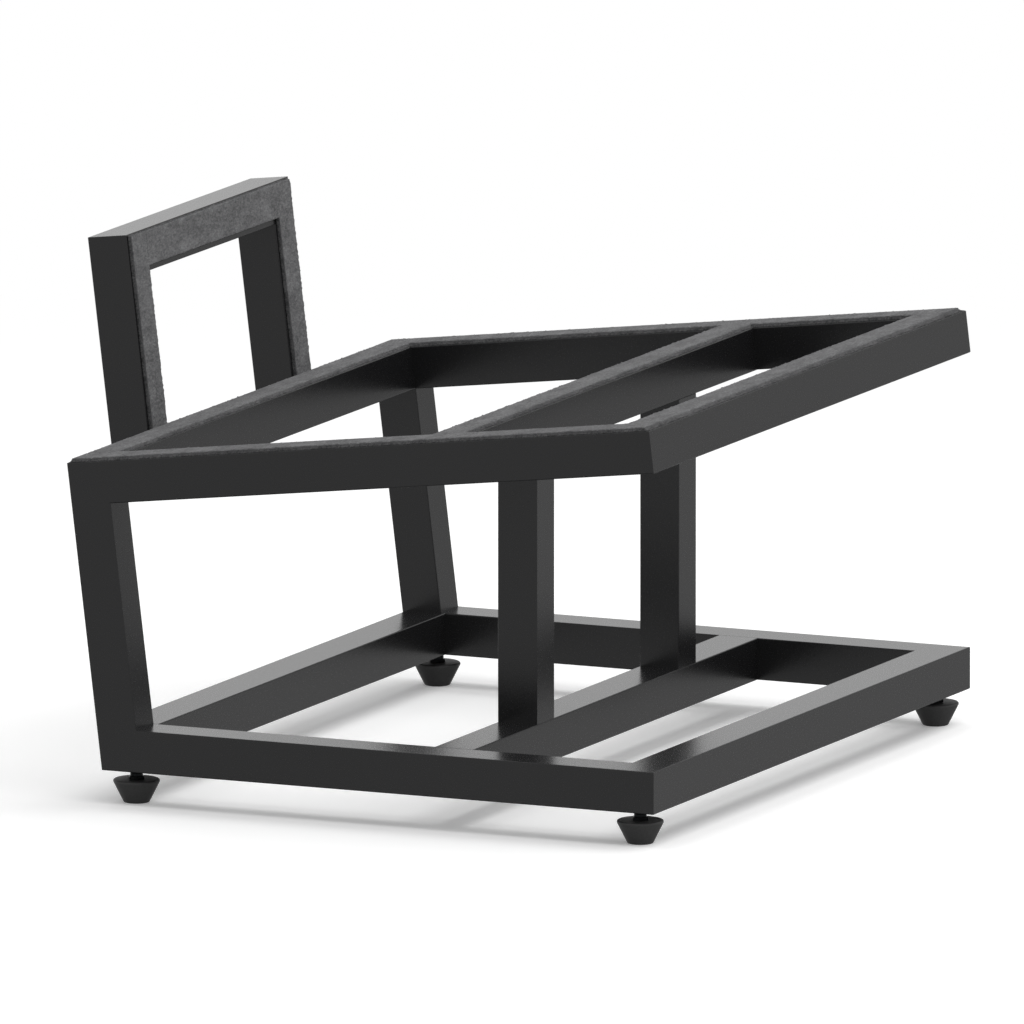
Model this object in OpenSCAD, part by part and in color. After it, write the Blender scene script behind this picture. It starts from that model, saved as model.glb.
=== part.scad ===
// Low stand for a large loudspeaker: a welded frame of square tube with a sloping seat,
// a backrest, felt strips under the cabinet and four screw-in levelling feet.
// Millimetres. +Z is up, the front faces -Y, and the left side is at -X.
// The origin is on the floor, in the middle of the stand's overall width and depth.

/* [Tube] */
// Outer side of the square steel tube
tube_side = 20; // [19:0.5:25]
// Wall of the tube
tube_wall = 1.5; // [1:0.1:2]
// Radius of the tube's outer edges
tube_edge_radius = 0.5; // [0.4:0.1:1.4]

/* [Frame] */
// Width over the side rails
stand_width = 363; // [300:1:460]
// Depth of the base, from its front face to its rear face
base_depth = 282; // [220:1:360]
// Lean of the rear legs and slope of the seat, in degrees
lean = 7; // [3:0.5:12]
// Length of a rear leg up its slope, from the base's underside to the seat's top
rear_leg_length = 145; // [120:1:190]
// From the front face of the base to the front face of the front legs
front_leg_setback = 100.5; // [70:0.5:140]
// Width over the two front legs
front_leg_spread = 181.5; // [120:0.5:240]

/* [Backrest] */
// Width over the two uprights
back_width = 181.5; // [120:0.5:240]
// Height of the backrest above the seat's tubes, up its slope
back_height = 93.5; // [60:0.5:160]

/* [Felt strips] */
// Thickness of the felt
felt_thickness = 1.8; // [1:0.1:4]
// Bare tube left beside a strip on each side
felt_inset = 2; // [0.5:0.1:4]
// How much further back the front strip of the seat lies
felt_front_shift = 1; // [0:0.1:2]
// Bare tube left above the strips of the backrest
felt_top_inset = 1; // [0.5:0.1:4]
// Gap between the backrest's strips and the seat's rear rail
felt_foot_gap = 0.3; // [0.2:0.1:1]

/* [Levelling feet] */
// From a base tube's centre line in to the axis of a foot
foot_offset = 2.3; // [0:0.1:2.6]
// Gap between the pads and the base as the stand is set up
foot_gap = 5; // [2:0.5:10]
// Diameter of a pad's top, before its edge is rounded
pad_top_diameter = 23; // [18:0.5:30]
// Diameter of a pad's bottom, before its edge is rounded
pad_bottom_diameter = 12; // [9:0.5:16]
// Height of a pad
pad_height = 11; // [9:0.5:16]
// Radius of a pad's top edge
pad_top_radius = 1; // [0.5:0.1:1.5]
// Radius of a pad's bottom edge
pad_bottom_radius = 0.8; // [0.3:0.1:1.2]

/* [Studs and nuts] */
// Diameter of the stud's thread
stud_diameter = 6; // [5:0.5:6.5]
// Length of the thread above the pad
stud_length = 17; // [13:0.5:19]
// Spanner flats at the foot of the thread, across the flats
stud_flats = 7; // [6.6:0.1:10]
// Height of the spanner flats
stud_flats_height = 1.5; // [1:0.1:2]
// Bevel at the tip of the thread
stud_bevel = 0.8; // [0.3:0.1:1]
// Diameter of the journal that turns in the pad
journal_diameter = 4.5; // [3.5:0.1:5]
// Length of the journal
journal_length = 5; // [3:0.5:6]
// Diameter of the bead that keeps the stud in the pad
bead_diameter = 6.5; // [5.5:0.1:7.5]
// Height of the bead
bead_height = 1.2; // [0.8:0.1:1.6]
// Side of the square weld nut
nut_side = 10; // [9:0.5:11]
// Height of the weld nut
nut_height = 5; // [3:0.5:6]

/* [Upright plugs] */
// Thickness of the plug's cap
plug_cap = 2; // [1:0.1:3]
// Depth of the plug in the tube
plug_depth = 10; // [6:0.5:16]
// Thickness of a gripping rib round the plug
plug_rib = 1; // [0.6:0.1:1.4]
// How far the ribs stand out of the plug's core
plug_rib_height = 1.2; // [0.6:0.1:1.6]
// Wall of the plug's hollow core
plug_wall = 1.6; // [1:0.1:2.4]

/* [Clearances] */
// Round the thread in its nut, and round the journal in its pad
running_clearance = 0.05; // [0.02:0.01:0.1]
// Round the thread in the wall of the base tube
hole_clearance = 0.3; // [0.2:0.05:0.5]
// Round and above the bead in its pad
bead_clearance = 0.2; // [0.1:0.05:0.4]
// Between a plug's ribs and the tube's inner wall
plug_clearance = 0.05; // [0.02:0.01:0.2]

/* [Hidden] */

$fn = 96;
left = -1;
right = 1;
front = 0;
rear = 1;
coat_colour = [0.17, 0.17, 0.18];
felt_colour = [0.28, 0.28, 0.29];
rubber_colour = [0.12, 0.12, 0.12];
stud_colour = [0.05, 0.05, 0.05];
nut_colour = [0.55, 0.56, 0.58];

// Half a tube: from the outer face of a rail to its centre line
half = tube_side / 2;
hollow = tube_side - 2 * tube_wall;
// The side rails' centre lines, and the clear width between the side rails
side_line = stand_width / 2 - half;
clear_width = stand_width - 2 * tube_side;

// The seat's front lower edge stands right over the front face of the base
seat_underside = rear_leg_length - tube_side;
seat_depth = (base_depth + seat_underside * sin(lean)) / cos(lean);
// Front face of the seat's cross rail, whose lower edge meets the front legs' front faces
seat_mid_front = front_leg_setback / cos(lean) - seat_depth;
// Where the front legs' centre lines meet the seat's underside, above the base's underside
front_leg_top = seat_underside * cos(lean) - seat_mid_front * sin(lean) - half * tan(lean);
// Mitre of the obtuse corner between a rear leg and the base
leg_mitre = (90 - lean) / 2;
leg_corner = half * tan(leg_mitre);

felt_width = tube_side - 2 * felt_inset;
felt_front = -seat_depth + felt_inset + felt_front_shift;
felt_rear = -felt_inset;
backrest_top = rear_leg_length + back_height;

// The backrest's upper rear edge is the hindmost line of the stand
edge_rounding = tube_edge_radius * (cos(lean) + sin(lean) - 1);
overall_depth = base_depth + backrest_top * sin(lean) + tube_side * cos(lean) - edge_rounding;
base_height = pad_height + foot_gap;
foot_side = side_line - foot_offset;
foot_front = half + foot_offset;
foot_rear = base_depth - half - foot_offset;

// How much a pad's radius grows for each millimetre of height, and the slope of its side from upright
pad_flare = (pad_top_diameter - pad_bottom_diameter) / 2 / pad_height;
pad_slope = atan(pad_flare);

// Places the children on the base: x from the middle, y back from its front face, z up from its underside
module on_base() translate([0, -overall_depth / 2, base_height]) children();

// Places the children on the slope of the rear legs, from the base's lower rear edge:
// y runs back along the seat and z runs up the legs and the backrest
module on_slope() on_base() translate([0, base_depth, 0]) rotate([-lean, 0, 0]) children();

module on_side(side) mirror([side == left ? 1 : 0, 0, 0]) children();

// Places the children at each foot's axis, at the base's underside
module at_foot(side, end)
    on_side(side) on_base() translate([foot_side, end == front ? foot_front : foot_rear, 0]) children();

module tube_outline() {
    flat = tube_side - 2 * tube_edge_radius;
    square([tube_side, flat], center = true);
    square([flat, tube_side], center = true);
    for (x = [-1, 1], y = [-1, 1])
        translate([x, y] * flat / 2) circle(tube_edge_radius);
}

module tube_section() difference() {
    tube_outline();
    square(hollow, center = true);
}

// A tube along +Z, centred on its axis. The planes that cut its ends cross the axis at z = 0 and
// z = length, and each is turned out of square by its angles about the x and the y axis.
module tube(length, start = [0, 0], end = [0, 0]) {
    reach = 3 * tube_side;
    difference() {
        translate([0, 0, -tube_side])
            linear_extrude(length + 2 * tube_side) tube_section();
        rotate([start[0], start[1], 0])
            translate([-reach / 2, -reach / 2, -reach]) cube(reach);
        translate([0, 0, length]) rotate([end[0], end[1], 0])
            translate([-reach / 2, -reach / 2, 0]) cube(reach);
    }
}

// The same tube laid across the stand, centred on x = 0, with its ends cut alike
module cross_tube(length, cut = [0, 0])
    translate([-length / 2, 0, 0]) rotate([0, 90, 0]) tube(length, cut, -cut);

// The same tube laid front to back, starting at y = 0
module long_tube(length, start = [0, 0], end = [0, 0]) rotate([-90, 0, 0]) tube(length, start, end);

// The holes for the studs, through the base's lower wall
module stud_holes() for (side = [left, right], end = [front, rear])
    at_foot(side, end) translate([0, 0, -tube_wall])
        cylinder(h = 3 * tube_wall, d = stud_diameter + 2 * hole_clearance);

module base_front_rail() color(coat_colour) difference() {
    on_base() translate([0, half, half]) cross_tube(2 * side_line, [45, 0]);
    stud_holes();
}

module base_mid_rail() color(coat_colour)
    on_base() translate([0, front_leg_setback + half, half]) cross_tube(clear_width);

module base_rear_rail() color(coat_colour)
    on_base() translate([0, base_depth - half, half]) cross_tube(clear_width);

// Mitred level with the front rail, and upright with the rear leg
module base_side_rail(side) color(coat_colour) difference() {
    on_side(side) on_base() translate([side_line, half, half])
        long_tube(base_depth - half - leg_corner, [0, 45], [leg_mitre, 0]);
    stud_holes();
}

module rear_leg(side) color(coat_colour) on_side(side) on_slope() translate([side_line, -half, leg_corner])
    tube(rear_leg_length - half - leg_corner, [-leg_mitre, 0], [45, 0]);

// Stands on the base's cross rail, with its top cut to the slope of the seat
module front_leg(side) color(coat_colour) on_side(side) on_base()
    translate([front_leg_spread / 2 - half, front_leg_setback + half, tube_side])
        tube(front_leg_top - tube_side, end = [-lean, 0]);

module seat_front_rail() color(coat_colour)
    on_slope() translate([0, half - seat_depth, rear_leg_length - half])
        cross_tube(2 * side_line, [45, 0]);

module seat_mid_rail() color(coat_colour)
    on_slope() translate([0, seat_mid_front + half, rear_leg_length - half]) cross_tube(clear_width);

module seat_rear_rail() color(coat_colour)
    on_slope() translate([0, -half, rear_leg_length - half]) cross_tube(clear_width);

module seat_side_rail(side) color(coat_colour)
    on_side(side) on_slope() translate([side_line, half - seat_depth, rear_leg_length - half])
        long_tube(seat_depth - tube_side, [0, 45], [-45, 0]);

// Lapped behind the seat's rear rail, with its foot closed by a plug level with the rail's underside
module backrest_upright(side) color(coat_colour)
    on_side(side) on_slope() translate([back_width / 2 - half, half, seat_underside + plug_cap])
        tube(backrest_top - half - seat_underside - plug_cap, end = [0, -45]);

module backrest_top_rail() color(coat_colour)
    on_slope() translate([0, half, backrest_top - half]) cross_tube(back_width - tube_side, [0, -45]);

// A cap with a hollow core inside the tube, and three ribs that grip the tube's wall
module upright_plug(side) color(rubber_colour)
    on_side(side) on_slope() translate([back_width / 2 - half, half, seat_underside]) {
        ribbed = hollow - 2 * plug_clearance;
        core = ribbed - 2 * plug_rib_height;
        ribs = 3;
        linear_extrude(plug_cap) tube_outline();
        translate([0, 0, plug_cap]) difference() {
            union() {
                translate([-core / 2, -core / 2, 0]) cube([core, core, plug_depth]);
                for (i = [1 : ribs])
                    translate([-ribbed / 2, -ribbed / 2, (plug_depth - plug_rib) * i / ribs])
                        cube([ribbed, ribbed, plug_rib]);
            }
            translate([plug_wall - core / 2, plug_wall - core / 2, 0])
                cube([core - 2 * plug_wall, core - 2 * plug_wall, plug_depth + plug_rib]);
        }
    }

// A strip of felt on the seat's top, from corner to corner in x and y
module seat_felt(from, to) color(felt_colour) on_slope() translate([from[0], from[1], rear_leg_length])
    cube([to[0] - from[0], to[1] - from[1], felt_thickness]);

module felt_seat_side(side) on_side(side)
    seat_felt([stand_width / 2 - felt_inset - felt_width, felt_front],
        [stand_width / 2 - felt_inset, felt_rear]);

// A strip across the seat between the two side strips, with its front edge at y
module felt_seat_cross(y) {
    reach = stand_width / 2 - felt_inset - felt_width;
    seat_felt([-reach, y], [reach, y + felt_width]);
}

// A strip of felt on the front of the backrest, from corner to corner in x and z
module back_felt(from, to) color(felt_colour) on_slope() translate([from[0], -felt_thickness, from[1]])
    cube([to[0] - from[0], felt_thickness, to[1] - from[1]]);

module felt_backrest_side(side) on_side(side)
    back_felt([back_width / 2 - felt_inset - felt_width, rear_leg_length + felt_foot_gap],
        [back_width / 2 - felt_inset, backrest_top - felt_top_inset]);

module felt_backrest_top() {
    reach = back_width / 2 - felt_inset - felt_width;
    top = backrest_top - felt_top_inset;
    back_felt([-reach, top - felt_width], [reach, top]);
}

// Four square weld nuts, one over each stud hole, on the base tubes' lower wall
module foot_nuts() color(nut_colour) for (side = [left, right], end = [front, rear])
    at_foot(side, end) translate([0, 0, tube_wall]) difference() {
        translate([-nut_side / 2, -nut_side / 2, 0]) cube([nut_side, nut_side, nut_height]);
        translate([0, 0, -nut_height])
            cylinder(h = 3 * nut_height, d = stud_diameter + 2 * running_clearance);
    }

// Seen from the pad's top: the thread and its spanner flats above, the journal and its bead below.
// Two of the six flats face the stand's sides.
module foot_stud(side, end) color(stud_colour) at_foot(side, end) translate([0, 0, -foot_gap]) {
    cylinder(h = stud_length - stud_bevel, d = stud_diameter);
    translate([0, 0, stud_length - stud_bevel])
        cylinder(h = stud_bevel, d1 = stud_diameter, d2 = stud_diameter - 2 * stud_bevel);
    rotate(30) cylinder(h = stud_flats_height, d = stud_flats / cos(30), $fn = 6);
    translate([0, 0, -journal_length]) cylinder(h = journal_length, d = journal_diameter);
    translate([0, 0, -journal_length - bead_height]) cylinder(h = bead_height, d = bead_diameter);
}

// Points of an arc that rounds the pad's edge, tangent to its side, with the arc's centre at height z
function pad_edge(radius, z, from, to) =
    let (x = pad_bottom_diameter / 2 + pad_flare * z - radius / cos(pad_slope), steps = 8)
    [for (i = [0 : steps]) let (a = from + (to - from) * i / steps) [x + radius * cos(a), z + radius * sin(a)]];

module pad_profile() polygon([[0, 0],
    each pad_edge(pad_bottom_radius, pad_bottom_radius, -90, -pad_slope),
    each pad_edge(pad_top_radius, pad_height - pad_top_radius, -pad_slope, 90),
    [0, pad_height]]);

// An upturned cone with a stepped socket, in which the stud's journal and bead turn
module foot_pad(side, end) color(rubber_colour)
    at_foot(side, end) translate([0, 0, -foot_gap - pad_height]) difference() {
        rotate_extrude() pad_profile();
        translate([0, 0, pad_height - journal_length])
            cylinder(h = journal_length + 1, d = journal_diameter + 2 * running_clearance);
        translate([0, 0, pad_height - journal_length - bead_height - bead_clearance])
            cylinder(h = bead_height + 2 * bead_clearance, d = bead_diameter + 2 * bead_clearance);
    }

base_front_rail();
base_mid_rail();
base_rear_rail();
base_side_rail(left);  // base_side_rail_left
base_side_rail(right);  // base_side_rail_right
rear_leg(left);  // rear_leg_left
rear_leg(right);  // rear_leg_right
front_leg(left);  // front_leg_left
front_leg(right);  // front_leg_right
seat_front_rail();
seat_mid_rail();
seat_rear_rail();
seat_side_rail(left);  // seat_side_rail_left
seat_side_rail(right);  // seat_side_rail_right
backrest_upright(left);  // backrest_upright_left
backrest_upright(right);  // backrest_upright_right
backrest_top_rail();
upright_plug(left);  // upright_plug_left
upright_plug(right);  // upright_plug_right
felt_seat_cross(felt_front);  // felt_seat_front
felt_seat_cross(seat_mid_front + felt_inset);  // felt_seat_mid
felt_seat_cross(felt_rear - felt_width);  // felt_seat_rear
felt_seat_side(left);  // felt_seat_left
felt_seat_side(right);  // felt_seat_right
felt_backrest_side(left);  // felt_backrest_left
felt_backrest_side(right);  // felt_backrest_right
felt_backrest_top();
foot_nuts();
foot_stud(left, front);  // foot_stud_front_left
foot_stud(right, front);  // foot_stud_front_right
foot_stud(left, rear);  // foot_stud_rear_left
foot_stud(right, rear);  // foot_stud_rear_right
foot_pad(left, front);  // foot_pad_front_left
foot_pad(right, front);  // foot_pad_front_right
foot_pad(left, rear);  // foot_pad_rear_left
foot_pad(right, rear);  // foot_pad_rear_right
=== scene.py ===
import math
import bpy
from mathutils import Matrix, Vector


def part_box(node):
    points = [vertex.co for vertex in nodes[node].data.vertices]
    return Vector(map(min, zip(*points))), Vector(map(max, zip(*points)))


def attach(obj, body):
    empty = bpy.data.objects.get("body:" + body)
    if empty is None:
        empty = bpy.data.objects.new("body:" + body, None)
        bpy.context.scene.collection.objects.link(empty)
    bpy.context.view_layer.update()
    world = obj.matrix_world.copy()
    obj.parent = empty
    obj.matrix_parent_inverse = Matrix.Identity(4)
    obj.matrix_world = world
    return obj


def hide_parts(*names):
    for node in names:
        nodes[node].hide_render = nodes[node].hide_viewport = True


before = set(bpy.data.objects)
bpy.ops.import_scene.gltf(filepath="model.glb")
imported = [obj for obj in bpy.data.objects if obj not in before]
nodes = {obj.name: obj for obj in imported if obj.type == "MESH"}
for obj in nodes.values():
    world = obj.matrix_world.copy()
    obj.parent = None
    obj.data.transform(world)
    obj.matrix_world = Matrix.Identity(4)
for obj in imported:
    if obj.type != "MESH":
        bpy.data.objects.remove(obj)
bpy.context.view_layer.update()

scene = bpy.context.scene
tiny = 0.00001   # metres: places that are closer than this are the same
square = 0.99    # a face looks along an axis where its normal has at least this much of it
bpy.ops.object.select_all(action="DESELECT")
print("frame loaded:", len(nodes), "nodes")

camera = {
    "azimuth": -65.6242,                        # degrees round from the front
    "elevation": 9.9946,
    "lookAt": (-0.006409, -0.014042, 0.119546),
    "distance": 21.9505,
    "lens": 1650.0,                             # so long that the lines stay parallel, as in the photograph
    "sensor": 36,
    "clip": (1, 100),
}


def placeCamera():
    turn, rise = math.radians(camera["azimuth"]), math.radians(camera["elevation"])
    back = Vector((math.sin(turn) * math.cos(rise), -math.cos(turn) * math.cos(rise), math.sin(rise)))
    data = bpy.data.cameras.new("photoCamera")
    data.lens = camera["lens"]
    data.sensor_width = camera["sensor"]
    data.clip_start, data.clip_end = camera["clip"]
    eye = bpy.data.objects.new("photoCamera", data)
    scene.collection.objects.link(eye)
    eye.location = Vector(camera["lookAt"]) + back * camera["distance"]
    eye.rotation_mode = "QUATERNION"
    eye.rotation_quaternion = (-back).to_track_quat("-Z", "Y")
    scene.camera = eye


placeCamera()


def hexColour(code):
    # sRGB to linear
    parts = [int(code[i:i + 2], 16) / 255 for i in (1, 3, 5)]
    return (*[p / 12.92 if p <= 0.04045 else ((p + 0.055) / 1.055) ** 2.4 for p in parts], 1)


def addNode(tree, kind, settings={}, inputs={}):
    node = tree.nodes.new(kind)
    for name, value in settings.items():
        setattr(node, name, value)
    for name, value in inputs.items():
        if isinstance(value, bpy.types.NodeSocket):
            tree.links.new(value, node.inputs[name])
        else:
            node.inputs[name].default_value = value
    return node


studio = {
    "floorSize": 16.0,
    "floorColour": "#dcdcdc",     # what the floor throws back on to the stand
    "floorSeen": "#ffffff",       # what the camera sees; reflections pass the floor by
    "floorGlow": 0.18,            # keeps the shadows pale, as on a lit table
    "fade": (0.45, 1.3),          # metres from the middle between which the floor turns plain white
    "worldLight": 0.66,
    "litSide": (0.55, -0.83, 0),  # the room's own light comes more from this side
    "litMore": 0.8,
    # What reflections show: a pale grey room over a darker floor, with its right-hand side
    # running from dim in front of the stand to white behind it
    "roomGrey": 0.78,
    "rightSide": 0.76,
    "roomFloor": 0.3,
    "horizon": (-0.5, -0.25),     # how far down a ray looks where the floor ends and the room starts
    "softboxSize": 1.8,
    "softboxPlace": (0.1, -0.35, 1.8),
    "softboxPower": 17.0,
}


def seenDirectly(tree):
    # 1 for what the camera sees, also in a reflection or through glass
    path = addNode(tree, "ShaderNodeLightPath")
    seen = addNode(tree, "ShaderNodeMath", {"operation": "ADD"},
                   {0: path.outputs["Is Camera Ray"], 1: path.outputs["Is Glossy Ray"]})
    seen = addNode(tree, "ShaderNodeMath", {"operation": "ADD", "use_clamp": True},
                   {0: seen.outputs[0], 1: path.outputs["Is Transmission Ray"]})
    return seen.outputs[0]


def makeWorld():
    world = bpy.data.worlds.new("whiteRoom")
    world.use_nodes = True
    tree = world.node_tree
    path = addNode(tree, "ShaderNodeLightPath")
    toward = addNode(tree, "ShaderNodeTexCoord").outputs["Generated"]
    way = addNode(tree, "ShaderNodeSeparateXYZ", {}, {0: toward})
    # reflections show the room
    room = addNode(tree, "ShaderNodeMath", {"operation": "MAXIMUM"}, {0: way.outputs["X"], 1: 0.0})
    room = addNode(tree, "ShaderNodeMath", {"operation": "MULTIPLY"},
                   {0: room.outputs[0], 1: way.outputs["Y"]})
    room = addNode(tree, "ShaderNodeMath", {"operation": "MULTIPLY_ADD", "use_clamp": True},
                   {0: room.outputs[0], 1: studio["rightSide"], 2: studio["roomGrey"]})
    below = addNode(tree, "ShaderNodeMapRange", {"interpolation_type": "SMOOTHSTEP"},
                    {"Value": way.outputs["Z"], "From Min": studio["horizon"][0],
                     "From Max": studio["horizon"][1], "To Min": studio["roomFloor"], "To Max": 1.0})
    room = addNode(tree, "ShaderNodeMath", {"operation": "MULTIPLY"},
                   {0: room.outputs[0], 1: below.outputs[0]})
    # the stand is lit a little more from one side
    lit = addNode(tree, "ShaderNodeVectorMath", {"operation": "DOT_PRODUCT"},
                  {0: toward, 1: studio["litSide"]})
    lit = addNode(tree, "ShaderNodeMath", {"operation": "MULTIPLY_ADD"},
                  {0: lit.outputs["Value"], 1: studio["litMore"] * studio["worldLight"],
                   2: studio["worldLight"]})
    level = addNode(tree, "ShaderNodeMix", {},
                    {0: path.outputs["Is Glossy Ray"], 2: lit.outputs[0], 3: room.outputs[0]})
    # and the camera sees plain white, also through glass
    level = addNode(tree, "ShaderNodeMix", {},
                    {0: path.outputs["Is Camera Ray"], 2: level.outputs[0], 3: 1.0})
    level = addNode(tree, "ShaderNodeMix", {},
                    {0: path.outputs["Is Transmission Ray"], 2: level.outputs[0], 3: 1.0})
    sky = tree.nodes["Background"]
    sky.inputs["Color"].default_value = (1, 1, 1, 1)
    tree.links.new(level.outputs[0], sky.inputs["Strength"])
    return world


def makePaper():
    paper = bpy.data.materials.new("white paper sweep")
    paper.use_nodes = True
    tree = paper.node_tree
    tree.nodes.clear()
    seen = seenDirectly(tree)
    colour = addNode(tree, "ShaderNodeMix", {"data_type": "RGBA"},
                     {0: seen, 6: hexColour(studio["floorColour"]), 7: hexColour(studio["floorSeen"])})
    sheet = addNode(tree, "ShaderNodeBsdfDiffuse", {}, {"Color": colour.outputs[2]})
    glow = addNode(tree, "ShaderNodeMath", {"operation": "MULTIPLY"}, {0: seen, 1: studio["floorGlow"]})
    glow = addNode(tree, "ShaderNodeEmission", {}, {"Strength": glow.outputs[0]})
    near = addNode(tree, "ShaderNodeAddShader", {}, {0: sheet.outputs[0], 1: glow.outputs[0]})
    place = addNode(tree, "ShaderNodeTexCoord")
    reach = addNode(tree, "ShaderNodeVectorMath", {"operation": "LENGTH"}, {0: place.outputs["Object"]})
    fade = addNode(tree, "ShaderNodeMapRange", {"interpolation_type": "SMOOTHSTEP"},
                   {"Value": reach.outputs["Value"],
                    "From Min": studio["fade"][0], "From Max": studio["fade"][1]})
    fade = addNode(tree, "ShaderNodeMath", {"operation": "MULTIPLY"}, {0: fade.outputs[0], 1: seen})
    white = addNode(tree, "ShaderNodeEmission")
    front = addNode(tree, "ShaderNodeMixShader", {},
                    {0: fade.outputs[0], 1: near.outputs[0], 2: white.outputs[0]})
    # from below the floor is clear, so that the feet and the undersides show
    clear = addNode(tree, "ShaderNodeBsdfTransparent")
    side = addNode(tree, "ShaderNodeNewGeometry")
    both = addNode(tree, "ShaderNodeMixShader", {},
                   {0: side.outputs["Backfacing"], 1: front.outputs[0], 2: clear.outputs[0]})
    addNode(tree, "ShaderNodeOutputMaterial", {}, {"Surface": both.outputs[0]})
    return paper


def buildStudio():
    scene.view_settings.view_transform = "Standard"
    scene.world = makeWorld()

    bpy.ops.mesh.primitive_plane_add(size=studio["floorSize"], location=(0, 0, 0))
    floor = bpy.context.object
    floor.name = "floor"
    floor.data.materials.append(makePaper())
    floor.visible_glossy = False   # the coat's even, dark sides don't mirror it in the photograph

    lamp = bpy.data.lights.new("softbox", "AREA")
    lamp.shape = "SQUARE"
    lamp.size = studio["softboxSize"]
    lamp.energy = studio["softboxPower"]
    softbox = bpy.data.objects.new("softbox", lamp)
    softbox.location = studio["softboxPlace"]
    scene.collection.objects.link(softbox)


buildStudio()
print("camera, floor and lights placed")


# Each of these finishes has a grain, drawn about twice its real size, because a finer one would
# vanish in the picture. The noise behind it stays near 0.5, so colours and roughness run between
# these values of it.
grainTones = (0.35, 0.65)
grainGloss = (0.3, 0.7)

# Powder coat, fine matt black: polyester powder baked on the tube. It dries to a very fine
# grain that shows where light skims along a face, and is even where it is seen square on.
coatLook = {
    "dark": "#131314",
    "light": "#141415",
    "roughness": (0.22, 0.28),
    "ior": 1.45,
    "grain": 0.0006,       # metres across one grain
    "grainDetail": 2.0,
    "grainHeight": 0.000012,
    "peel": 0.0018,        # the slow waves of the film
    "peelHeight": 0.00002,
}
# Moulded rubber, satin black: hard thermoplastic rubber from an eroded mould, with a fine leathery skin.
rubberLook = {
    "dark": "#363636",
    "light": "#3f3f3f",
    "roughness": (0.5, 0.62),
    "ior": 1.4,
    "grain": 0.0007,
    "grainDetail": 3.0,
    "grainHeight": 0.00001,
}
# Black zinc: bright zinc dipped in a black passivate, so a metal that stays nearly black with a dull gleam.
zincLook = {
    "dark": "#161718",
    "light": "#242526",
    "roughness": (0.28, 0.4),
    "grain": 0.0009,
    "grainDetail": 3.0,
    "grainHeight": 0.000004,
}
# Rolled steel, bare: the weld nuts inside the tube, grey with rolling marks.
steelLook = {
    "dark": "#85878a",
    "light": "#a8aaad",
    "roughness": (0.34, 0.5),
    "grain": 0.0012,
    "grainDetail": 3.0,
    "grainHeight": 0.000005,
}
# Moulded polyethylene, black: the plugs in the uprights, waxy with a faint mould grain.
plasticLook = {
    "dark": "#141414",
    "light": "#1b1b1b",
    "roughness": (0.42, 0.52),
    "ior": 1.5,
    "grain": 0.0006,
    "grainDetail": 3.0,
    "grainHeight": 0.000006,
}


def makeGrained(name, look, metallic=0.0):
    material = bpy.data.materials.new(name)
    material.use_nodes = True
    tree = material.node_tree
    shader = tree.nodes["Principled BSDF"]
    place = addNode(tree, "ShaderNodeTexCoord").outputs["Object"]
    grain = addNode(tree, "ShaderNodeTexNoise", {},
                    {"Vector": place, "Scale": 1 / look["grain"], "Detail": look["grainDetail"],
                     "Roughness": 0.6}).outputs["Fac"]
    ramp = addNode(tree, "ShaderNodeValToRGB", {}, {"Fac": grain})
    ends = ramp.color_ramp.elements
    ends[0].position, ends[1].position = grainTones
    ends[0].color = hexColour(look["dark"])
    ends[1].color = hexColour(look["light"])
    rough = addNode(tree, "ShaderNodeMapRange", {},
                    {"Value": grain, "From Min": grainGloss[0], "From Max": grainGloss[1],
                     "To Min": look["roughness"][0], "To Max": look["roughness"][1]})
    bumps = addNode(tree, "ShaderNodeBump", {},
                    {"Height": grain, "Strength": 1.0, "Distance": look["grainHeight"]})
    if "peel" in look:
        peel = addNode(tree, "ShaderNodeTexNoise", {},
                       {"Vector": place, "Scale": 1 / look["peel"], "Detail": 1.0})
        waves = addNode(tree, "ShaderNodeBump", {},
                        {"Height": peel.outputs["Fac"], "Strength": 1.0, "Distance": look["peelHeight"]})
        tree.links.new(waves.outputs[0], bumps.inputs["Normal"])
    tree.links.new(ramp.outputs[0], shader.inputs["Base Color"])
    tree.links.new(rough.outputs[0], shader.inputs["Roughness"])
    tree.links.new(bumps.outputs[0], shader.inputs["Normal"])
    shader.inputs["Metallic"].default_value = metallic
    if "ior" in look:
        shader.inputs["IOR"].default_value = look["ior"]
    return material


# Needled felt, charcoal: short wool and polyester fibres matted by barbed needles. Pale and dark
# fibres give a fine mottle, and loose ends on the skin catch light that skims along it.
feltLook = {
    "dark": "#545455",
    "middle": "#6c6c6d",
    "light": "#848485",
    "parts": (0.5, 0.27, 0.23),   # how much of the mottle is tufts, fibres and clouds
    "mottle": 0.12,               # how far it strays to either side of 0.5
    "tuft": 0.001,                # metres across a tuft
    "fibre": 0.0005,              # across a bundle of fibres, coarser than one fibre so that it shows
    "cloud": 0.007,               # and across the slow changes of shade
    "tuftTangle": 0.8,            # curls the tufts and the bundles round each other
    "fibreTangle": 1.5,
    "drawn": 2.0,                 # the felt is drawn out along the stand's width as it is carded
    "tuftHeight": 0.00004,
    "fibreHeight": 0.00002,
    "cut": 0.3,                   # share of the felt's colour left where painted shade darkens the cut edges most
    "openTufts": (0.35, 0.65),    # the painted shade on the cut edges is blotchy, following the tufts
    "openDark": (-0.3, 1.7),
    "roughness": 0.95,
    "specular": 0.15,             # the fibres hardly shine
}


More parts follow.
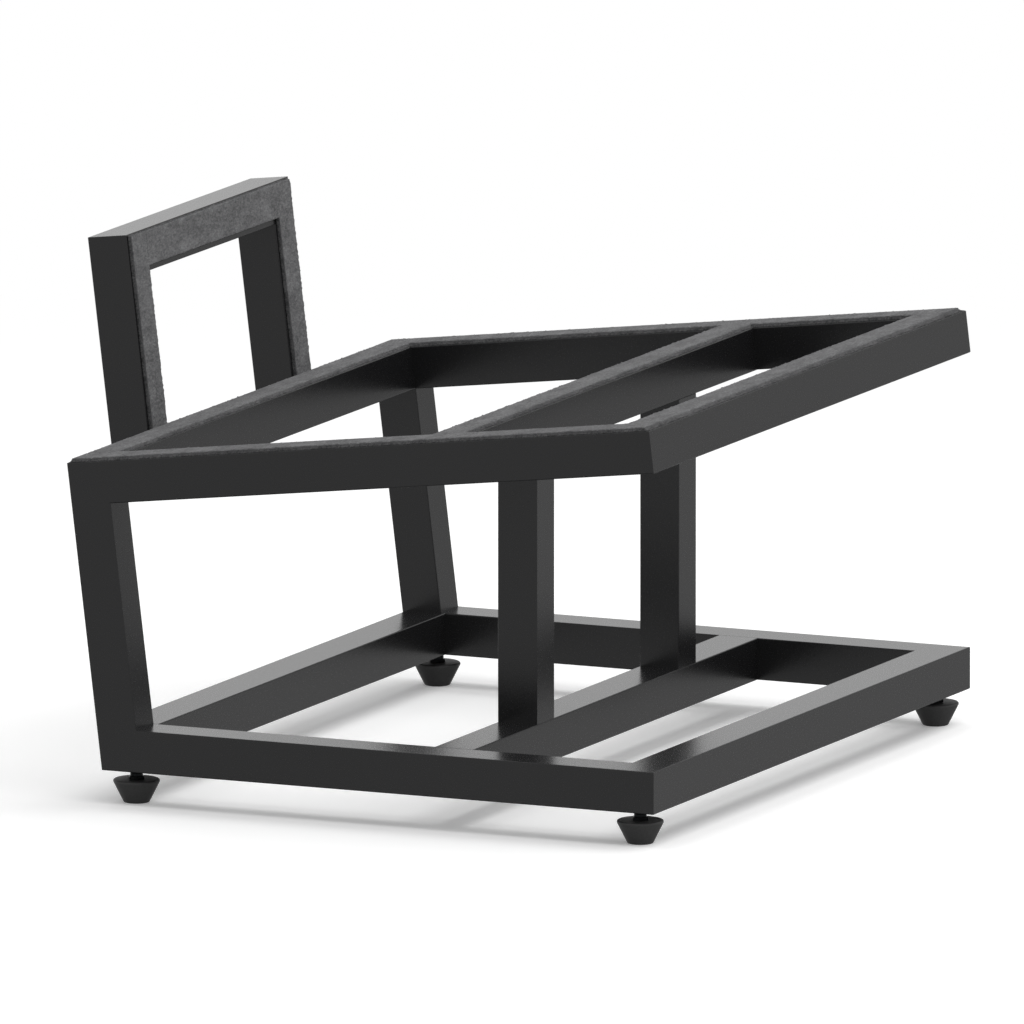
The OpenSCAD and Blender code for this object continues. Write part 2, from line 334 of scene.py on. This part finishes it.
def makeFelt():
    felt = bpy.data.materials.new("needled felt, charcoal")
    felt.use_nodes = True
    tree = felt.node_tree
    shader = tree.nodes["Principled BSDF"]
    place = addNode(tree, "ShaderNodeTexCoord").outputs["Object"]
    place = addNode(tree, "ShaderNodeMapping", {},
                    {"Vector": place, "Scale": (1 / feltLook["drawn"], 1, 1)}).outputs[0]
    tufts = addNode(tree, "ShaderNodeTexNoise", {},
                    {"Vector": place, "Scale": 1 / feltLook["tuft"], "Detail": 3.0, "Roughness": 0.6,
                     "Distortion": feltLook["tuftTangle"]}).outputs["Fac"]
    fibres = addNode(tree, "ShaderNodeTexNoise", {},
                     {"Vector": place, "Scale": 1 / feltLook["fibre"], "Detail": 2.0, "Roughness": 0.7,
                      "Distortion": feltLook["fibreTangle"]}).outputs["Fac"]
    clouds = addNode(tree, "ShaderNodeTexNoise", {},
                     {"Vector": place, "Scale": 1 / feltLook["cloud"], "Detail": 2.0}).outputs["Fac"]
    mixed = addNode(tree, "ShaderNodeMath", {"operation": "MULTIPLY"}, {0: tufts, 1: feltLook["parts"][0]})
    mixed = addNode(tree, "ShaderNodeMath", {"operation": "MULTIPLY_ADD"},
                    {0: fibres, 1: feltLook["parts"][1], 2: mixed.outputs[0]})
    mixed = addNode(tree, "ShaderNodeMath", {"operation": "MULTIPLY_ADD"},
                    {0: clouds, 1: feltLook["parts"][2], 2: mixed.outputs[0]})
    ramp = addNode(tree, "ShaderNodeValToRGB", {}, {"Fac": mixed.outputs[0]})
    ends = ramp.color_ramp.elements
    ends[0].position, ends[1].position = 0.5 - feltLook["mottle"], 0.5 + feltLook["mottle"]
    ends.new(0.5).color = hexColour(feltLook["middle"])
    ends[0].color = hexColour(feltLook["dark"])
    ends[-1].color = hexColour(feltLook["light"])
    # painted shade: the cut edges are darkened, most at the foot where they meet the rail, in blotches that
    # follow the tufts
    cut = addNode(tree, "ShaderNodeAttribute", {"attribute_name": "cutEdge"})
    shadeBlotches = addNode(tree, "ShaderNodeMapRange", {},
                   {"Value": tufts,
                    "From Min": feltLook["openTufts"][0], "From Max": feltLook["openTufts"][1],
                    "To Min": feltLook["openDark"][0], "To Max": feltLook["openDark"][1]})
    patchy = addNode(tree, "ShaderNodeMath", {"operation": "MULTIPLY"},
                     {0: cut.outputs["Fac"], 1: shadeBlotches.outputs[0]})
    edgeShadeFactor = addNode(tree, "ShaderNodeMapRange", {},
                   {"Value": patchy.outputs[0], "To Min": 1.0, "To Max": feltLook["cut"]})
    shade = addNode(tree, "ShaderNodeVectorMath", {"operation": "SCALE"},
                    {0: ramp.outputs[0], "Scale": edgeShadeFactor.outputs[0]})
    bumps = addNode(tree, "ShaderNodeBump", {},
                    {"Height": tufts, "Strength": 1.0, "Distance": feltLook["tuftHeight"]})
    bumps = addNode(tree, "ShaderNodeBump", {},
                    {"Height": fibres, "Strength": 1.0, "Distance": feltLook["fibreHeight"],
                     "Normal": bumps.outputs[0]})
    tree.links.new(shade.outputs[0], shader.inputs["Base Color"])
    tree.links.new(bumps.outputs[0], shader.inputs["Normal"])
    shader.inputs["Roughness"].default_value = feltLook["roughness"]
    shader.inputs["Diffuse Roughness"].default_value = 1.0
    shader.inputs["Specular IOR Level"].default_value = feltLook["specular"]
    return felt


powderCoat = makeGrained("powder coat, fine matt black", coatLook)
needledFelt = makeFelt()
mouldedRubber = makeGrained("moulded rubber, satin black", rubberLook)
blackZinc = makeGrained("black zinc plate", zincLook, metallic=1.0)
bareSteel = makeGrained("rolled steel, bare", steelLook, metallic=1.0)
mouldedPlastic = makeGrained("moulded polyethylene, black", plasticLook)

for name, node in nodes.items():
    if name == "foot_nuts":
        finish = bareSteel
    elif name.startswith("upright_plug"):
        finish = mouldedPlastic
    else:
        finish = powderCoat
    node.data.materials.clear()
    node.data.materials.append(finish)
print("finishes made and put on the tubes, plugs and nuts")


def only(thing):
    if bpy.context.mode != "OBJECT":
        bpy.ops.object.mode_set(mode="OBJECT")
    bpy.ops.object.select_all(action="DESELECT")
    thing.select_set(True)
    bpy.context.view_layer.objects.active = thing


def pick(thing, kind, test):
    # leaves the mesh in edit mode with just those faces or edges selected
    only(thing)
    bpy.ops.object.mode_set(mode="EDIT")
    bpy.ops.mesh.select_mode(type=kind)
    bpy.ops.mesh.select_all(action="DESELECT")
    bpy.ops.object.mode_set(mode="OBJECT")
    mesh = thing.data
    if kind == "FACE":
        for face in mesh.polygons:
            face.select = test(face.center, face.normal)
    else:
        for edge in mesh.edges:
            edge.select = test(*[mesh.vertices[i].co for i in edge.vertices])
    bpy.ops.object.mode_set(mode="EDIT")


def settle(thing, angle=35):
    # puts the piece's place into its mesh and smooths what curves
    only(thing)
    bpy.ops.object.transform_apply(location=True, rotation=True, scale=True)
    bpy.ops.object.shade_smooth_by_angle(angle=math.radians(angle))


# The seat and the backrest lean together, so the felt is laid out square in the leaning frame
# and then turned with it, about the base's lower rear edge.
lean = -7.0   # degrees
rearLow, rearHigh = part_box("base_rear_rail")
slopeToRoom = Matrix.Translation((0, rearHigh.y, rearLow.z)) @ Matrix.Rotation(math.radians(lean), 4, "X")


def slopeBox(name):
    points = [slopeToRoom.inverted() @ v.co for v in nodes[name].data.vertices]
    return [Vector([end(p[i] for p in points) for i in range(3)]) for end in (min, max)]


feltCut = {
    "cell": 0.0006,          # one cell of the mesh
    "softEdge": 0.00025,     # how far the cut edges have rounded over
    # from the foot up to the skin: share of the thickness, and of the spread
    "steps": ((0.25, 0.6), (0.35, 0.3), (0.4, 0.1)),
    "seatSpread": 0.003,     # how far the cut edges splay out at the foot, at the most
    "backSpread": 0.0005,
    "margin": 0.0003,        # and how far they stay from the tube's edge
    "paleTop": 0.67,         # how much the painted shade on the cut edges fades from the foot up to the skin
    "lumps": 0.005,          # spacing of the slow unevenness of the felt
    "lumpHeight": 0.00007,
    "tufts": 0.0013,         # spacing of the tufts
    "tuftHeight": 0.0001,
    "seatFray": 0.0011,      # how far the long edges run in and out, at the most
    "backFray": 0.0007,
    "frayFoot": 0.3,         # share of it at the foot, where the felt is glued
    "seatDroop": 0.0009,     # how far the rims of the skin sink here and there, at the most
    "backDroop": 0.0003,
    "droopLevel": 0.7,       # above 0.5, so that they sink more than they rise
    "droopDeep": 0.000375,   # how much of the wall under the skin sinks with them
    "tuck": 0.0003,          # the cross strips reach this far under the skin of the side strips
}
lumpPattern = bpy.data.textures.new("feltLumps", "CLOUDS")
lumpPattern.noise_scale = feltCut["lumps"]
tuftPattern = bpy.data.textures.new("feltTufts", "CLOUDS")
tuftPattern.noise_scale = feltCut["tufts"]
tuftPattern.noise_depth = 2
frayPattern = bpy.data.textures.new("feltFray", "CLOUDS")
frayPattern.noise_scale = feltCut["tufts"]
frayPattern.noise_depth = 1


def raiseStrip(name, size, spread, across):
    # a grid for the foot, then up in steps that draw in to the skin, whose edges are rounded
    cells = [max(1, round(s / feltCut["cell"])) for s in size[:2]]
    foot = [(-size[i] / 2 - spread[i][0], size[i] / 2 + spread[i][1]) for i in (0, 1)]
    wide = [b - a for a, b in foot]
    middle = Vector(((foot[0][0] + foot[0][1]) / 2, (foot[1][0] + foot[1][1]) / 2, 0))
    bpy.ops.mesh.primitive_grid_add(x_subdivisions=cells[0], y_subdivisions=cells[1], size=1, location=middle)
    strip = bpy.context.object
    strip.name = name
    strip.scale = (*wide, 1)
    bpy.ops.object.transform_apply(location=True, scale=True)
    bpy.ops.object.mode_set(mode="EDIT")
    bpy.ops.mesh.select_all(action="SELECT")
    inward = Vector((-middle.x, -middle.y, 0))
    for rise, share in feltCut["steps"]:
        drawn = [wide[i] - sum(spread[i]) * share for i in (0, 1)]
        step = inward * share + Vector((0, 0, size.z * rise))
        middle += step
        bpy.ops.mesh.extrude_region_move(TRANSFORM_OT_translate={"value": step})
        bpy.ops.transform.resize(value=(drawn[0] / wide[0], drawn[1] / wide[1], 1), center_override=middle)
        wide = drawn
    bpy.ops.object.mode_set(mode="OBJECT")
    edgeX, edgeY = size.x / 2 - tiny, size.y / 2 - tiny
    pick(strip, "EDGE", lambda a, b: min(a.z, b.z) > size.z - tiny and (
        (abs(a.x) > edgeX and abs(b.x) > edgeX and not across) or (abs(a.y) > edgeY and abs(b.y) > edgeY)))
    bpy.ops.mesh.bevel(offset=feltCut["softEdge"], segments=2, affect="EDGES")
    bpy.ops.mesh.select_all(action="SELECT")
    bpy.ops.mesh.normals_make_consistent(inside=False)
    bpy.ops.object.mode_set(mode="OBJECT")
    return strip, foot


def markStrip(strip, size, foot, across):
    # What the fibres move: all above the glue a little, and the long edges sideways and downwards, so
    # that the outline of the skin stays straight. The cut edges also carry painted shade, darkest at the foot
    # where they meet the rail.
    loose, edges, rim = [strip.vertex_groups.new(name=part) for part in ("loose", "edges", "rim")]
    side = 1 if across else 0
    paintedShade = []
    for v in strip.data.vertices:
        height = v.co.z / size.z
        onWall = v.co.z > tiny and abs(v.co[side]) > size[side] / 2 - tiny - feltCut["softEdge"]
        onFoot = not foot[side][0] + tiny < v.co[side] < foot[side][1] - tiny
        onSkin = v.co.z >= size.z - feltCut["softEdge"] / 2
        if v.co.z > tiny:
            loose.add([v.index], 1.0, "REPLACE")
        if onWall and v.co.z > size.z - feltCut["droopDeep"]:
            rim.add([v.index], 1.0, "REPLACE")
        if onWall or onFoot:
            edges.add([v.index], feltCut["frayFoot"] + (1 - feltCut["frayFoot"]) * height, "REPLACE")
        # painted shade on the cut edges, darkest at the foot by the rail and none on the skin
        paintedShade.append(0.0 if onSkin else 1.0 - feltCut["paleTop"] * height)
    strip.data.attributes.new("cutEdge", "FLOAT", "POINT").data.foreach_set("value", paintedShade)


def layFelt(name, node, rail, across):
    low, high = slopeBox(node)
    centre = (low + high) / 2
    # the seat's strips lie on top, and the backrest's stand on edge with their skin to the front
    back = node.startswith("felt_backrest")
    size = high - low
    turn = Matrix.Translation((centre.x, centre.y, low.z))
    if back:
        size.y, size.z = size.z, size.y
        turn = Matrix.Translation((centre.x, high.y, centre.z)) @ Matrix.Rotation(math.radians(90), 4, "X")
    # the foot splays as far as the rail leaves room, but a cross strip keeps its length
    railLow, railHigh = slopeBox(rail)
    most = feltCut["backSpread" if back else "seatSpread"]
    spread = [[max(0, min(most, bare - feltCut["margin"]))
               for bare in (low[i] - railLow[i], railHigh[i] - high[i])]
              for i in ((0, 2) if back else (0, 1))]
    if across:
        spread[0] = [0, 0]
        size.x += 2 * feltCut["tuck"]
    strip, foot = raiseStrip(name, size, spread, across)
    markStrip(strip, size, foot, across)
    strip.matrix_world = slopeToRoom @ turn
    bpy.ops.object.transform_apply(location=True, rotation=True, scale=True)
    along, outward = ("Z", "Y") if back else ("Y", "Z")
    fray = feltCut["backFray" if back else "seatFray"]
    droop = -feltCut["backDroop"] if back else feltCut["seatDroop"]
    for pattern, height, level, part, way in (
            (lumpPattern, feltCut["lumpHeight"], 0.5, "loose", "NORMAL"),
            (tuftPattern, feltCut["tuftHeight"], 0.5, "loose", "NORMAL"),
            (frayPattern, fray, 0.5, "edges", along if across else "X"),
            (frayPattern, droop, feltCut["droopLevel"], "rim", outward)):
        lift = strip.modifiers.new(pattern.name, "DISPLACE")
        lift.texture = pattern
        lift.texture_coords = "LOCAL"
        lift.strength = height
        lift.mid_level = level
        lift.direction = way
        lift.vertex_group = part
        bpy.ops.object.modifier_apply(modifier=lift.name)
    settle(strip, angle=180)
    strip.data.materials.append(needledFelt)
    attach(strip, "frame")
    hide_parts(node)


layFelt("feltSeatFront", "felt_seat_front", "seat_front_rail", True)
layFelt("feltSeatMid", "felt_seat_mid", "seat_mid_rail", True)
layFelt("feltSeatRear", "felt_seat_rear", "seat_rear_rail", True)
layFelt("feltSeatLeft", "felt_seat_left", "seat_side_rail_left", False)
layFelt("feltSeatRight", "felt_seat_right", "seat_side_rail_right", False)
layFelt("feltBackLeft", "felt_backrest_left", "backrest_upright_left", False)
layFelt("feltBackRight", "felt_backrest_right", "backrest_upright_right", False)
layFelt("feltBackTop", "felt_backrest_top", "backrest_top_rail", True)
print("felt strips laid")


padShape = {
    "topDiameter": 0.023,
    "bottomDiameter": 0.012,
    "height": 0.011,
    "topEdge": 0.001,         # radius of the rim
    "bottomEdge": 0.0008,
    "edgeSteps": 8,
    "socket": 0.0046,
    "socketDepth": 0.005,
    "sides": 128,
}


def shapePad():
    p = padShape
    bpy.ops.mesh.primitive_cylinder_add(vertices=p["sides"], radius=p["topDiameter"] / 2, depth=p["height"],
                                        location=(0, 0, p["height"] / 2))
    pad = bpy.context.object
    bpy.ops.object.transform_apply(location=True)
    pick(pad, "FACE", lambda c, n: n.z < -square)
    taper = p["bottomDiameter"] / p["topDiameter"]
    bpy.ops.transform.resize(value=(taper, taper, 1), center_override=(0, 0, 0))
    # an arc that touches both faces starts this far back from the sharp corner
    side = math.atan2(p["height"], (p["topDiameter"] - p["bottomDiameter"]) / 2)
    for z, radius, corner in ((p["height"], p["topEdge"], side), (0, p["bottomEdge"], math.pi - side)):
        pick(pad, "EDGE", lambda a, b: abs(a.z - z) < tiny and abs(b.z - z) < tiny)
        bpy.ops.mesh.bevel(offset=radius / math.tan(corner / 2), segments=p["edgeSteps"], affect="EDGES")
    # the socket for the stud goes down from the middle of the top
    pick(pad, "FACE", lambda c, n: n.z > square and math.hypot(c.x, c.y) < tiny)
    bpy.ops.object.mode_set(mode="OBJECT")
    lid = next(f for f in pad.data.polygons if f.select)
    reach = max(math.hypot(*pad.data.vertices[i].co[:2]) for i in lid.vertices)
    bpy.ops.object.mode_set(mode="EDIT")
    bpy.ops.mesh.inset(thickness=reach - p["socket"] / 2)
    bpy.ops.mesh.extrude_region_move(TRANSFORM_OT_translate={"value": (0, 0, -p["socketDepth"])})
    settle(pad)
    pad.data.materials.append(mouldedRubber)
    return pad


studShape = {
    "length": 0.017,
    "thread": 0.006,
    "core": 0.005,
    "neck": 0.0012,           # plain part between the flats and the thread
    "pitch": 0.001,
    "ridgeRoot": 0.00088,     # height of the ridge at the core and at its crest
    "ridgeCrest": 0.00014,
    "ridgeSunk": 0.00002,     # how far it reaches into the core
    "ridgeStart": 0.0002,     # and how far below the neck's top it starts
    "ridgeSteps": 36,
    "weld": 0.0000001,        # its points that are closer than this are one
    "flats": 0.007,
    "flatsHeight": 0.0015,
    "flatsEdge": 0.00025,
    "tip": 0.0008,            # how far the bevelled tip reaches
    "tipShare": 0.8,          # width of the tip's end against the core
    "journal": 0.0045,
    "journalLength": 0.005,
    "bead": 0.0065,
    "beadHeight": 0.0012,
    "sides": 48,
}


def shapeStud():
    s = studShape
    # from the bead up: journal, neck, then the thread's core with a bevelled tip
    bpy.ops.mesh.primitive_cylinder_add(vertices=s["sides"], radius=s["bead"] / 2, depth=s["beadHeight"],
                                        location=(0, 0, -s["journalLength"] - s["beadHeight"] / 2))
    stud = bpy.context.object
    bpy.ops.object.transform_apply(location=True)
    pick(stud, "FACE", lambda c, n: n.z > square)
    bpy.ops.mesh.inset(thickness=(s["bead"] - s["journal"]) / 2)
    bpy.ops.mesh.extrude_region_move(TRANSFORM_OT_translate={"value": (0, 0, s["journalLength"])})
    top = s["flatsHeight"] + s["neck"]
    for rise, wider in (
            (s["tip"] / 4, s["thread"] / s["journal"]),
            (top - s["tip"] / 4, 1),
            (s["tip"] / 2, s["core"] / s["thread"]),
            (s["length"] - top - s["tip"] * 3 / 2, 1),
            (s["tip"], s["tipShare"])):
        bpy.ops.mesh.extrude_region_move(TRANSFORM_OT_translate={"value": (0, 0, rise)})
        bpy.ops.transform.resize(value=(wider, wider, 1), center_override=(0, 0, 0))
    bpy.ops.object.mode_set(mode="OBJECT")

    # the spanner flats, with their corners turned down as a nut's are
    bpy.ops.mesh.primitive_cylinder_add(vertices=6, radius=s["flats"] / 2 / math.cos(math.pi / 6),
                                        depth=s["flatsHeight"], location=(0, 0, s["flatsHeight"] / 2))
    flats = bpy.context.object
    bpy.ops.object.transform_apply(location=True)
    pick(flats, "EDGE", lambda a, b: min(a.z, b.z) > s["flatsHeight"] - tiny)
    bpy.ops.mesh.bevel(offset=s["flatsEdge"], segments=2, affect="EDGES")
    bpy.ops.object.mode_set(mode="OBJECT")

    # one turn of the thread's ridge, screwed up the core
    root, crest = s["core"] / 2 - s["ridgeSunk"], s["thread"] / 2
    bpy.ops.mesh.primitive_plane_add(size=1, location=(0, 0, 0))
    ridge = bpy.context.object
    corners = ((root, -s["ridgeRoot"] / 2), (crest, -s["ridgeCrest"] / 2),
               (root, s["ridgeRoot"] / 2), (crest, s["ridgeCrest"] / 2))
    for vertex, (reach, height) in zip(ridge.data.vertices, corners):
        vertex.co = (reach, 0, height)
    ridge.location.z = top - s["ridgeStart"]
    bpy.ops.object.transform_apply(location=True)
    screw = ridge.modifiers.new("screw", "SCREW")
    screw.axis = "Z"
    screw.angle = math.radians(360)
    screw.screw_offset = s["pitch"]
    screw.iterations = int((s["length"] - top - s["tip"]) / s["pitch"])
    screw.steps = screw.render_steps = s["ridgeSteps"]
    screw.use_merge_vertices = True
    bpy.ops.object.modifier_apply(modifier="screw")
    bpy.ops.object.mode_set(mode="EDIT")
    bpy.ops.mesh.select_all(action="SELECT")
    bpy.ops.mesh.remove_doubles(threshold=s["weld"])
    bpy.ops.mesh.fill_holes(sides=4)   # the ridge's two ends
    bpy.ops.mesh.normals_make_consistent(inside=False)
    bpy.ops.object.mode_set(mode="OBJECT")

    only(stud)
    flats.select_set(True)
    ridge.select_set(True)
    bpy.ops.object.join()
    settle(stud, angle=25)
    stud.data.materials.append(blackZinc)
    return stud


# one pad and one stud are modelled, and each foot gets its own copies
padModel, studModel = shapePad(), shapeStud()
for foot in ("front_left", "front_right", "rear_left", "rear_right"):
    camelFoot = "".join(word.capitalize() for word in foot.split("_"))
    low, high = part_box("foot_pad_" + foot)
    axis = (low + high) / 2
    for model, name, node, body, finishSlot, lift in (
            (padModel, "pad", "foot_pad_", "pad_", "pad", low.z),
            (studModel, "stud", "foot_stud_", "stud_", "stud", high.z)):
        only(model)
        bpy.ops.object.duplicate(linked=False)
        copy = bpy.context.object
        copy.name = name + camelFoot
        copy.location = (axis.x, axis.y, lift)
        bpy.ops.object.transform_apply(location=True)
        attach(copy, body + foot)
        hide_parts(node + foot)
for model in (padModel, studModel):
    bpy.data.objects.remove(model)
print("feet made")
